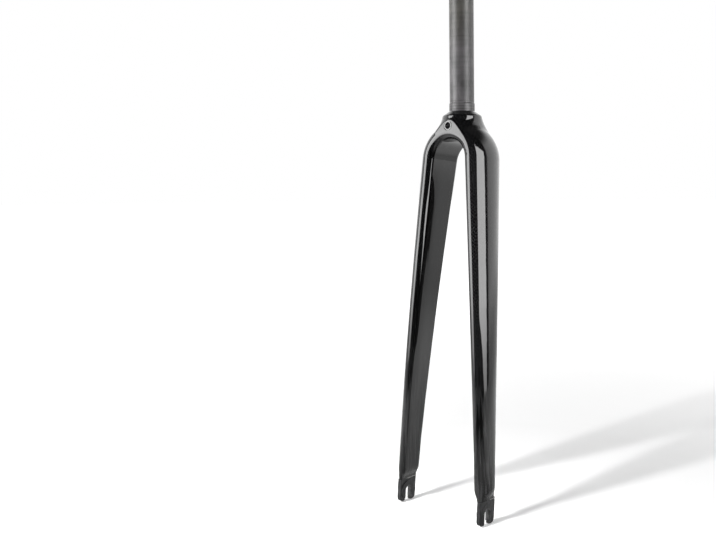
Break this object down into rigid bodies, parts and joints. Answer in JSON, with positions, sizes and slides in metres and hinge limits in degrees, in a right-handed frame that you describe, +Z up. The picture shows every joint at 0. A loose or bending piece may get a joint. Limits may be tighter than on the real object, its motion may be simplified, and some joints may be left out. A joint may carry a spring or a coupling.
{
  "type": "rigid bicycle fork",
  "caption": "Rigid carbon bicycle fork: a threadless steerer tube on a moulded crown with tapering blades, a brake bolt hole through the crown and open axle slots in the dropouts.",
  "frame": {"origin": "on the steerer's axis at the foot of the crown race seat", "axes": "+Z up the steerer, +X across the fork, and the fork faces -Y"},
  "size_m": [0.1212, 0.0685, 0.7119],
  "materials": {
    "ground_carbon": "ground bare carbon, satin grey",
    "lacquered_carbon": "black carbon under clear gloss lacquer",
    "sleeve_alloy": "turned, satin",
    "black_alloy": "black anodised, satin"
  },
  "bodies": {
    "root": {"steerer_tube": "ground_carbon", "crown_and_blades": "lacquered_carbon", "brake_sleeve": "sleeve_alloy", "left_dropout": "black_alloy", "right_dropout": "black_alloy"}
  },
  "joints": []
}
